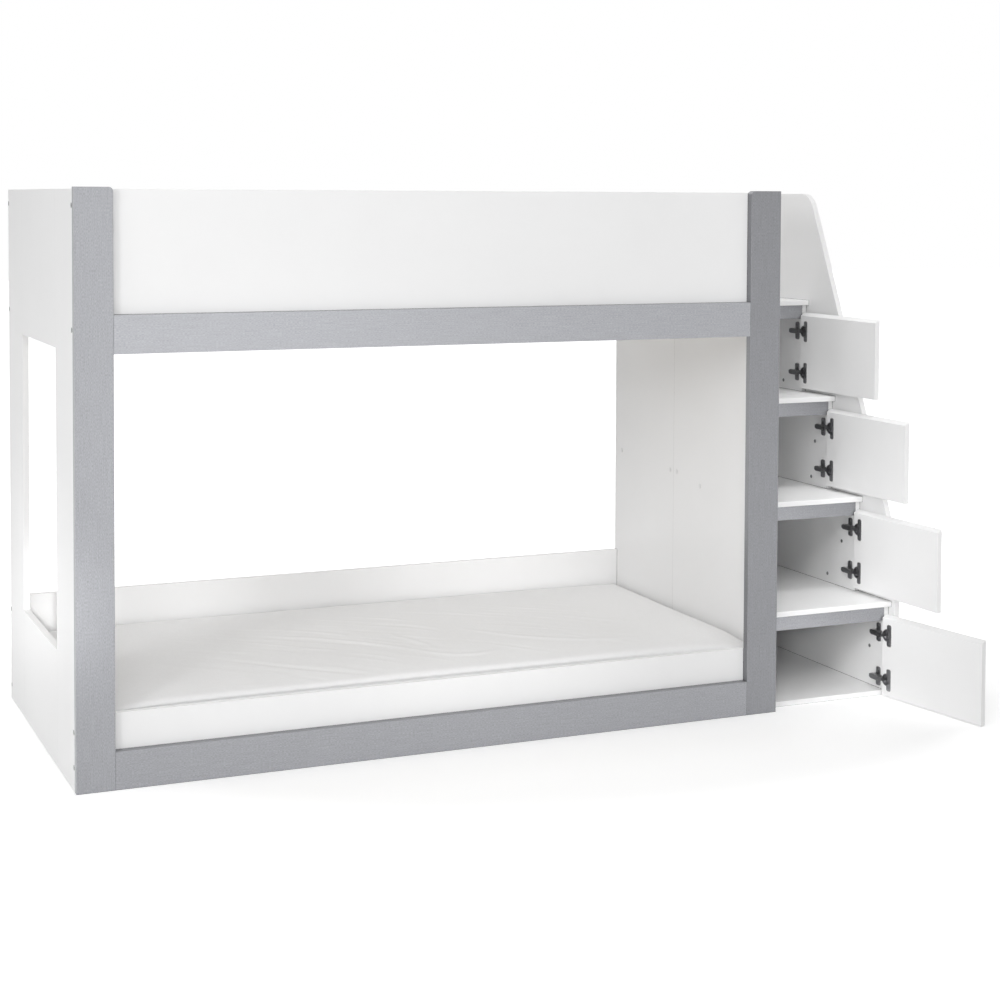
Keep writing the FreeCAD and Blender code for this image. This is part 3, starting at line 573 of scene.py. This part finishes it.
def gather_relief(plan, half):
    """Folds that fan out round each corner, where the sheet is tucked in."""
    centre = np.sign(plan) * (half - PLAN_RADIUS)
    out = (plan - centre) * np.sign(plan)
    angle = np.arctan2(out[:, 1], out[:, 0])
    radius = np.linalg.norm(out, axis=1)
    fan = np.exp(-((radius - GATHER_RADIUS) / GATHER_REACH) ** 2)
    quarter = np.clip(np.sin(2 * angle), 0.0, 1.0) * (out.min(axis=1) > 0)
    return GATHER_HEIGHT * fan * quarter * np.sin(GATHERS * angle)


def foam_wave(plan):
    """Slow unevenness of the foam under the sheet."""
    across_x, across_y = np.sin(plan * FOAM_WAVE_TURNS + FOAM_WAVE_STARTS).T
    return FOAM_WAVE * across_x * across_y


def mattress_points(low, high):
    """Points and faces of the mattress's closed surface."""
    size = np.array(high - low)
    size[2] -= CROWN
    half = size / 2
    counts = [round(size[0] / GRID_X), round(size[1] / GRID_Y), SIDE_ROWS]
    places, faces = box_grid(counts)
    places /= counts
    places[:, 2] = np.interp(places[:, 2], (0.0, *SEAM_ROWS, 1.0), (0.0, *SEAM_STRETCH, 1.0))
    points = round_edges((places - 0.5) * size, half)
    plan = points[:, :2].copy()
    inside, outward = edge_distance(plan, half[:2])
    along_x, along_y, height = (points / half).T
    rim = np.exp(-inside / EDGE_RADIUS)

    seam = np.exp(-((points[:, 2] - half[2] + SEAM_BELOW_TOP) / SEAM_WIDTH) ** 2) * rim
    seam *= 1 - SEAM_FADE * np.interp(along_x, SEAM_FADES, (0.0, 1.0))
    points[:, :2] -= outward * (SEAM_DEPTH * seam)[:, None]
    points[:, 1] -= SIDE_DRAW * along_y * (1 - along_x ** 2) * rim

    crown_y = 1 - (1 - CROWN_AT_EDGE) * np.abs(along_y) ** CROWN_POWER_Y
    crown = CROWN * (1 - np.abs(along_x) ** CROWN_POWER_X) * crown_y
    to_corner = np.linalg.norm(half[:2] - np.abs(plan), axis=1)
    droop = CORNER_DROOP * np.exp(-(to_corner / DROOP_REACH) ** 2) * (along_y < 0)
    from_corner = plan + np.array(low)[:2] + half[:2] - np.array(CORNER)[:2]
    calm = 1 - np.exp(-(np.maximum(inside, 0.0) / EDGE_RADIUS) ** 2)
    relief = calm * (foam_wave(plan) + crease_relief(from_corner)) + gather_relief(plan, half[:2])
    points[:, 2] += np.clip(height, 0.0, 1.0) ** 2 * (crown - droop + relief)
    return points + np.array(low) + half, faces


def make_mattress(cotton):
    """Foam mattress in a cotton sheet: crowned, with a rolled edge over a seam and a creased top."""
    points, faces = mattress_points(*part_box("mattress"))
    mesh = bpy.data.meshes.new("mattress_in_sheet")
    mesh.from_pydata(points.tolist(), [], faces)
    mesh.polygons.foreach_set("use_smooth", [True] * len(faces))
    mesh.materials.append(cotton)
    piece = bpy.data.objects.new("mattress_in_sheet", mesh)
    bpy.context.scene.collection.objects.link(piece)
    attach(piece, "bed")
    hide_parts("mattress")


def seen_directly(tree):
    """One for rays that show a background to the eye: camera, mirror and glass rays."""
    path = tree.nodes.new("ShaderNodeLightPath")
    value = path.outputs["Is Camera Ray"]
    for name in ("Is Glossy Ray", "Is Transmission Ray"):
        value = calculate(tree, "MAXIMUM", value, path.outputs[name])
    return value


def make_world():
    """White surroundings, with a soft ambient light from all sides."""
    world = bpy.data.worlds.new("studio")
    bpy.context.scene.world = world
    world.use_nodes = True
    tree = world.node_tree
    background = tree.nodes["Background"]
    background.inputs["Color"].default_value = WHITE
    strength = map_range(tree, seen_directly(tree), AMBIENT_LIGHT, 1.0)
    tree.links.new(strength, background.inputs["Strength"])


def floor_whiteness(tree):
    """The floor's own glow: faint round the bed, full further out, and stronger in reflections."""
    place = add_node(tree, "ShaderNodeTexCoord").outputs["Object"]
    shrunk = add_node(tree, "ShaderNodeMapping", {"Vector": place},
                      Scale=(1 / FLOOR_ELLIPSE[0], 1 / FLOOR_ELLIPSE[1], 1.0),
                      Location=(-FLOOR_ELLIPSE_SHIFT / FLOOR_ELLIPSE[0], 0.0, 0.0))
    distance = tree.nodes.new("ShaderNodeVectorMath")
    distance.operation = "LENGTH"
    tree.links.new(shrunk.outputs["Vector"], distance.inputs[0])
    outer = map_range(tree, distance.outputs["Value"], FLOOR_GLOW, 1.0, WHITE_FROM, WHITE_AT)
    mirrored = tree.nodes.new("ShaderNodeLightPath").outputs["Is Glossy Ray"]
    mirror_glow = map_range(tree, mirrored, 0.0, FLOOR_MIRROR_GLOW)
    brighter = calculate(tree, "MAXIMUM", outer, mirror_glow)
    return calculate(tree, "MULTIPLY", brighter, seen_directly(tree))


def floor_material():
    """Matte white that keeps the bed's shadow, with a glow that only the eye sees."""
    material = bpy.data.materials.new("studio_floor")
    material.use_nodes = True
    tree = material.node_tree
    tree.nodes.remove(tree.nodes["Principled BSDF"])
    matte = add_node(tree, "ShaderNodeBsdfDiffuse", Color=(FLOOR_ALBEDO, FLOOR_ALBEDO, FLOOR_ALBEDO, 1.0))
    glow = add_node(tree, "ShaderNodeEmission", {"Strength": floor_whiteness(tree)})
    both = tree.nodes.new("ShaderNodeAddShader")
    tree.links.new(matte.outputs["BSDF"], both.inputs[0])
    tree.links.new(glow.outputs["Emission"], both.inputs[1])
    tree.links.new(both.outputs["Shader"], tree.nodes["Material Output"].inputs["Surface"])
    return material


def make_floor():
    """Plain white floor."""
    reach = FLOOR_SIZE / 2
    corners = [(-reach, -reach, 0), (reach, -reach, 0), (reach, reach, 0), (-reach, reach, 0)]
    mesh = bpy.data.meshes.new("studio_floor")
    mesh.from_pydata(corners, [], [(0, 1, 2, 3)])
    mesh.materials.append(floor_material())
    floor = bpy.data.objects.new("studio_floor", mesh)
    bpy.context.scene.collection.objects.link(floor)


def hang_lamp(data, lamp):
    """Put a lamp at its place from the bed's corner, aim it and set its power."""
    data.energy = lamp.power
    place, aim = Vector(lamp.place), Vector(lamp.aim)
    hung = bpy.data.objects.new(data.name, data)
    bpy.context.scene.collection.objects.link(hung)
    turn = (aim - place).to_track_quat("-Z", "Y").to_matrix().to_4x4()
    hung.matrix_world = Matrix.Translation(CORNER + place) @ turn


def make_lamps():
    """Softboxes round the bed and above it, and spots for its shaded insides."""
    for name, lamp in SOFTBOXES.items():
        data = bpy.data.lights.new(name, "AREA")
        data.shape = "SQUARE"
        data.size = lamp.width
        hang_lamp(data, lamp)
    for name, lamp in SPOTS.items():
        data = bpy.data.lights.new(name, "SPOT")
        data.spot_size = math.radians(lamp.cone)
        data.spot_blend = SPOT_BLEND
        data.shadow_soft_size = lamp.radius
        hang_lamp(data, lamp)


make_camera()
cotton = sheet_cotton()
finish_nodes(cotton)
make_mattress(cotton)
make_floor()
make_world()
make_lamps()
bpy.context.scene.view_settings.view_transform = "Standard"
